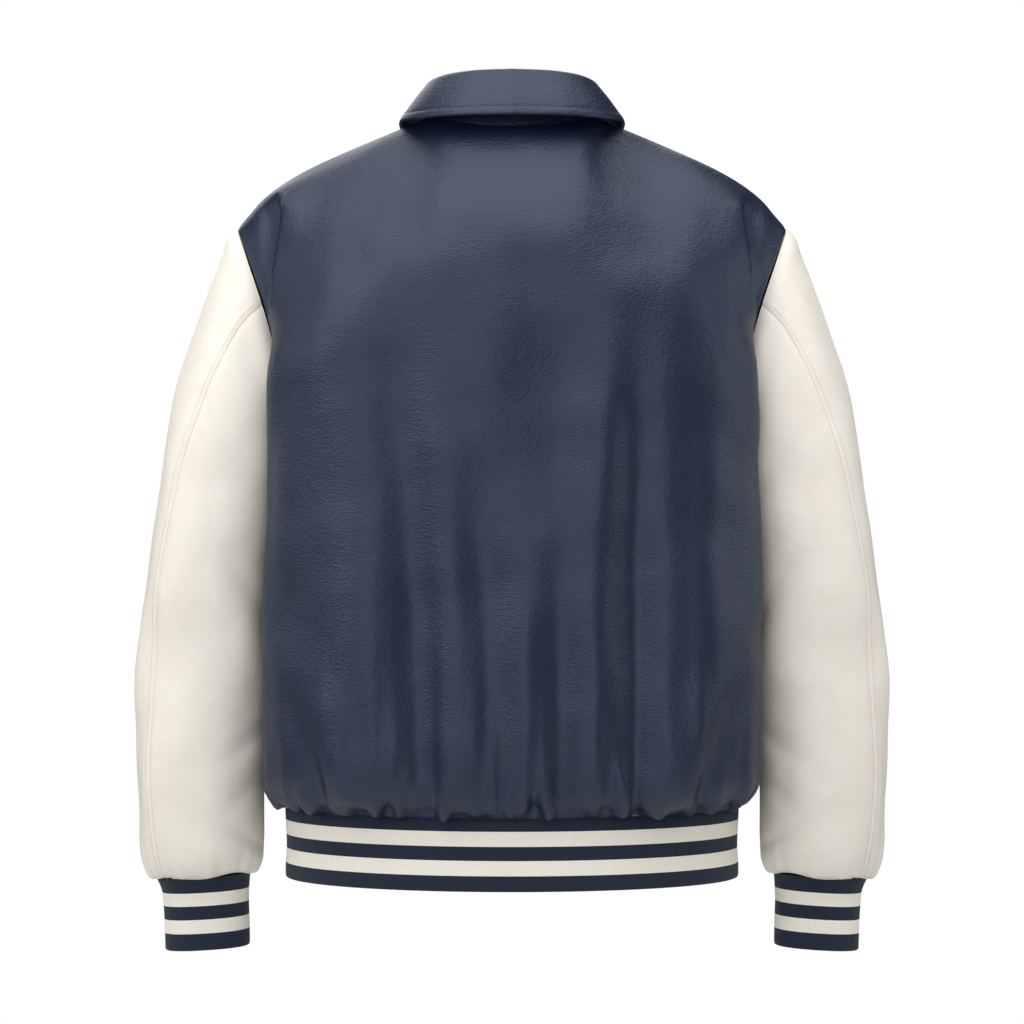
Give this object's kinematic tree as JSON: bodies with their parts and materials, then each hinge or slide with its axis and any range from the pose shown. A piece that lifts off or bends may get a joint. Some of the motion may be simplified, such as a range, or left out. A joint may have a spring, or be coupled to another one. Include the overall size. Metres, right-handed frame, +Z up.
{
  "type": "varsity jacket, worn, with no wearer",
  "caption": "Varsity jacket in its worn form: leather body, set-in leather sleeves, shirt collar, striped rib cuffs and hem, snap front.",
  "frame": {"origin": "middle of the line between the neck ends of the two shoulder seams, where the wearer's shoulders carry the jacket", "axes": "+Z up, -Y the wearer's front, +X the wearer's left"},
  "size_m": [0.6722, 0.2988, 0.777],
  "materials": {
    "navy_leather": "soft semi-matt, fine pebble grain",
    "cream_leather": "soft semi-matt, smooth",
    "striped_rib": "rib knit, navy with two cream stripes",
    "snap_enamel": "satin navy enamel"
  },
  "bodies": {
    "root": {"back": "navy_leather", "front_left": "navy_leather", "front_right": "navy_leather", "collar_stand": "navy_leather", "collar_leaf": "navy_leather", "sleeve_outer_left": "cream_leather", "sleeve_under_left": "cream_leather", "sleeve_outer_right": "cream_leather", "sleeve_under_right": "cream_leather", "cuff_left": "striped_rib", "cuff_right": "striped_rib", "hem_band": "striped_rib", "snap_1": "snap_enamel", "snap_2": "snap_enamel", "snap_3": "snap_enamel", "snap_4": "snap_enamel", "snap_5": "snap_enamel", "snap_6": "snap_enamel"}
  },
  "joints": []
}
